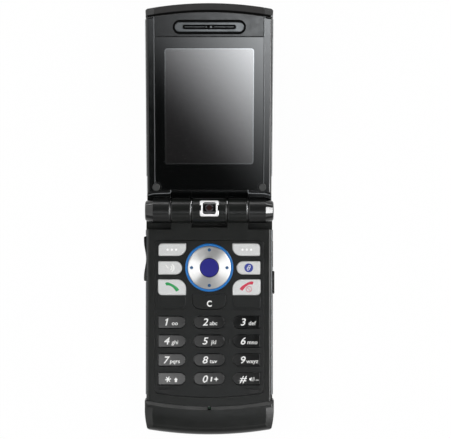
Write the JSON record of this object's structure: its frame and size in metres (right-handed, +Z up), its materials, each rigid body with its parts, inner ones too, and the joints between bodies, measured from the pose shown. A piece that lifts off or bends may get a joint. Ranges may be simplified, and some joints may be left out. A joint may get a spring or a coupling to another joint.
{
  "type": "flip phone",
  "caption": "Slim clamshell phone, open on its back: tilting lid with display, hinge barrel with a turning camera, keypad with four-way disc, side controls and sliding battery cover.",
  "frame": {"origin": "middle of the base's flat back face", "axes": "+X to the phone's right, +Y along the phone towards the lid's tip, +Z up out of the keypad"},
  "size_m": [0.0503, 0.1643, 0.0267],
  "materials": {
    "black_plastic": "moulded, semi-gloss black",
    "gloss_black": "high-gloss black",
    "satin_back": "fine-textured satin black",
    "rubber": "soft dark grey",
    "side_trim": "satin silver grey",
    "dark_key": "satin charcoal",
    "silver_key": "silver lacquer",
    "blue_ring": "translucent blue",
    "brushed_disc": "spun-brushed",
    "violet_key": "deep blue-violet",
    "display_glass": "clear, printed black round the window",
    "dark_window": "smoked",
    "display_panel": "switched-off liquid crystal",
    "bright_rim": "polished",
    "lens_black": "matte black",
    "grey_insert": "satin grey",
    "circuit_board": "green solder mask",
    "dome_foil": "clear film over steel domes",
    "cell_can": "sleeved cell",
    "bare_steel": "plain",
    "speaker_black": "matte black"
  },
  "bodies": {
    "base": {"base_front_housing": "black_plastic", "base_rear_housing": "black_plastic", "chin_cover": "black_plastic", "keypad_panel": "black_plastic", "keypad_stops": "rubber", "nav_halo": "blue_ring", "base_side_trims": "side_trim", "charging_socket": "bare_steel", "main_board": "circuit_board", "dome_sheet": "dome_foil", "battery": "cell_can", "sim_holder": "bare_steel", "loudspeaker": "speaker_black", "vibration_motor": "bare_steel", "antenna_element": "speaker_black", "base_screws": "bare_steel", "hinge_module": "bare_steel"},
    "lid": {"lid_inner_frame": "black_plastic", "lid_outer_cover": "gloss_black", "lid_end_cap": "black_plastic", "lid_side_trims": "side_trim", "lid_bumpers": "rubber", "display_glass": "display_glass", "display_module": "display_panel", "earpiece_panel": "gloss_black", "earpiece_insert": "grey_insert", "earpiece_speaker": "speaker_black", "outer_window": "dark_window", "outer_display": "display_panel", "hinge_pins": "bare_steel"},
    "camera": {"camera_barrel": "black_plastic", "camera_bezel": "bright_rim", "camera_window": "dark_window", "camera_module": "lens_black"},
    "soft_key_left": {"soft_key_left": "silver_key"},
    "soft_key_right": {"soft_key_right": "silver_key"},
    "menu_key": {"menu_key": "silver_key"},
    "browser_key": {"browser_key": "silver_key"},
    "call_key": {"call_key": "silver_key"},
    "end_key": {"end_key": "silver_key"},
    "clear_key": {"clear_key": "dark_key"},
    "key_1": {"key_1": "dark_key"},
    "key_2": {"key_2": "dark_key"},
    "key_3": {"key_3": "dark_key"},
    "key_4": {"key_4": "dark_key"},
    "key_5": {"key_5": "dark_key"},
    "key_6": {"key_6": "dark_key"},
    "key_7": {"key_7": "dark_key"},
    "key_8": {"key_8": "dark_key"},
    "key_9": {"key_9": "dark_key"},
    "key_star": {"key_star": "dark_key"},
    "key_0": {"key_0": "dark_key"},
    "key_hash": {"key_hash": "dark_key"},
    "nav_actuator": {"nav_actuator": "rubber"},
    "nav_disc": {"nav_disc": "brushed_disc"},
    "centre_key": {"centre_key": "violet_key"},
    "volume_rocker": {"volume_rocker": "black_plastic"},
    "side_key": {"side_key": "black_plastic"},
    "connector_flap": {"connector_flap": "rubber"},
    "battery_cover": {"battery_cover": "satin_back"}
  },
  "joints": [
    {"name": "lid_hinge", "type": "hinge", "parent": "base", "child": "lid", "pos_m": [0, 0.043, 0.0114], "axis": [1, 0, 0], "range_deg": [0, 168]},
    {"name": "camera_turn", "type": "hinge", "parent": "base", "child": "camera", "pos_m": [0, 0.043, 0.0114], "axis": [1, 0, 0], "range_deg": [-165, 30]},
    {"name": "soft_key_left_press", "type": "slide", "parent": "base", "child": "soft_key_left", "axis": [0, 0, -1], "range_m": [0, 0.00035], "stiffness_N_per_m": 50, "springref_m": -0.001},
    {"name": "soft_key_right_press", "type": "slide", "parent": "base", "child": "soft_key_right", "axis": [0, 0, -1], "range_m": [0, 0.00035], "stiffness_N_per_m": 50, "springref_m": -0.001},
    {"name": "menu_key_press", "type": "slide", "parent": "base", "child": "menu_key", "axis": [0, 0, -1], "range_m": [0, 0.00035], "stiffness_N_per_m": 50, "springref_m": -0.001},
    {"name": "browser_key_press", "type": "slide", "parent": "base", "child": "browser_key", "axis": [0, 0, -1], "range_m": [0, 0.00035], "stiffness_N_per_m": 50, "springref_m": -0.001},
    {"name": "call_key_press", "type": "slide", "parent": "base", "child": "call_key", "axis": [0, 0, -1], "range_m": [0, 0.00035], "stiffness_N_per_m": 50, "springref_m": -0.001},
    {"name": "end_key_press", "type": "slide", "parent": "base", "child": "end_key", "axis": [0, 0, -1], "range_m": [0, 0.00035], "stiffness_N_per_m": 50, "springref_m": -0.001},
    {"name": "clear_key_press", "type": "slide", "parent": "base", "child": "clear_key", "axis": [0, 0, -1], "range_m": [0, 0.00035], "stiffness_N_per_m": 50, "springref_m": -0.001},
    {"name": "key_1_press", "type": "slide", "parent": "base", "child": "key_1", "axis": [0, 0, -1], "range_m": [0, 0.00035], "stiffness_N_per_m": 50, "springref_m": -0.001},
    {"name": "key_2_press", "type": "slide", "parent": "base", "child": "key_2", "axis": [0, 0, -1], "range_m": [0, 0.00035], "stiffness_N_per_m": 50, "springref_m": -0.001},
    {"name": "key_3_press", "type": "slide", "parent": "base", "child": "key_3", "axis": [0, 0, -1], "range_m": [0, 0.00035], "stiffness_N_per_m": 50, "springref_m": -0.001},
    {"name": "key_4_press", "type": "slide", "parent": "base", "child": "key_4", "axis": [0, 0, -1], "range_m": [0, 0.00035], "stiffness_N_per_m": 50, "springref_m": -0.001},
    {"name": "key_5_press", "type": "slide", "parent": "base", "child": "key_5", "axis": [0, 0, -1], "range_m": [0, 0.00035], "stiffness_N_per_m": 50, "springref_m": -0.001},
    {"name": "key_6_press", "type": "slide", "parent": "base", "child": "key_6", "axis": [0, 0, -1], "range_m": [0, 0.00035], "stiffness_N_per_m": 50, "springref_m": -0.001},
    {"name": "key_7_press", "type": "slide", "parent": "base", "child": "key_7", "axis": [0, 0, -1], "range_m": [0, 0.00035], "stiffness_N_per_m": 50, "springref_m": -0.001},
    {"name": "key_8_press", "type": "slide", "parent": "base", "child": "key_8", "axis": [0, 0, -1], "range_m": [0, 0.00035], "stiffness_N_per_m": 50, "springref_m": -0.001},
    {"name": "key_9_press", "type": "slide", "parent": "base", "child": "key_9", "axis": [0, 0, -1], "range_m": [0, 0.00035], "stiffness_N_per_m": 50, "springref_m": -0.001},
    {"name": "key_star_press", "type": "slide", "parent": "base", "child": "key_star", "axis": [0, 0, -1], "range_m": [0, 0.00035], "stiffness_N_per_m": 50, "springref_m": -0.001},
    {"name": "key_0_press", "type": "slide", "parent": "base", "child": "key_0", "axis": [0, 0, -1], "range_m": [0, 0.00035], "stiffness_N_per_m": 50, "springref_m": -0.001},
    {"name": "key_hash_press", "type": "slide", "parent": "base", "child": "key_hash", "axis": [0, 0, -1], "range_m": [0, 0.00035], "stiffness_N_per_m": 50, "springref_m": -0.001},
    {"name": "nav_tilt_sideways", "type": "hinge", "parent": "base", "child": "nav_actuator", "pos_m": [0, 0.02125, 0.00815], "axis": [0, 1, 0], "range_deg": [-2, 2], "stiffness_Nm_per_rad": 0.0005},
    {"name": "nav_tilt_up_down", "type": "hinge", "parent": "nav_actuator", "child": "nav_disc", "pos_m": [0, 0.02125, 0.0107], "axis": [1, 0, 0], "range_deg": [-2, 2], "stiffness_Nm_per_rad": 0.0005},
    {"name": "centre_key_press", "type": "slide", "parent": "base", "child": "centre_key", "axis": [0, 0, -1], "range_m": [0, 0.00035], "stiffness_N_per_m": 50, "springref_m": -0.001},
    {"name": "volume_rocker_tilt", "type": "hinge", "parent": "base", "child": "volume_rocker", "pos_m": [-0.0232, 0.0246, 0.00645], "axis": [0, 0, 1], "range_deg": [-2.5, 2.5], "stiffness_Nm_per_rad": 0.0005},
    {"name": "side_key_press", "type": "slide", "parent": "base", "child": "side_key", "axis": [-1, 0, 0], "range_m": [0, 0.0004], "stiffness_N_per_m": 50, "springref_m": -0.001},
    {"name": "flap_hinge", "type": "hinge", "parent": "base", "child": "connector_flap", "pos_m": [0.02455, 0.02635, 0.00505], "axis": [0, 1, 0], "range_deg": [0, 100]},
    {"name": "cover_slide", "type": "slide", "parent": "base", "child": "battery_cover", "axis": [0, -1, 0], "range_m": [0, 0.012]}
  ]
}
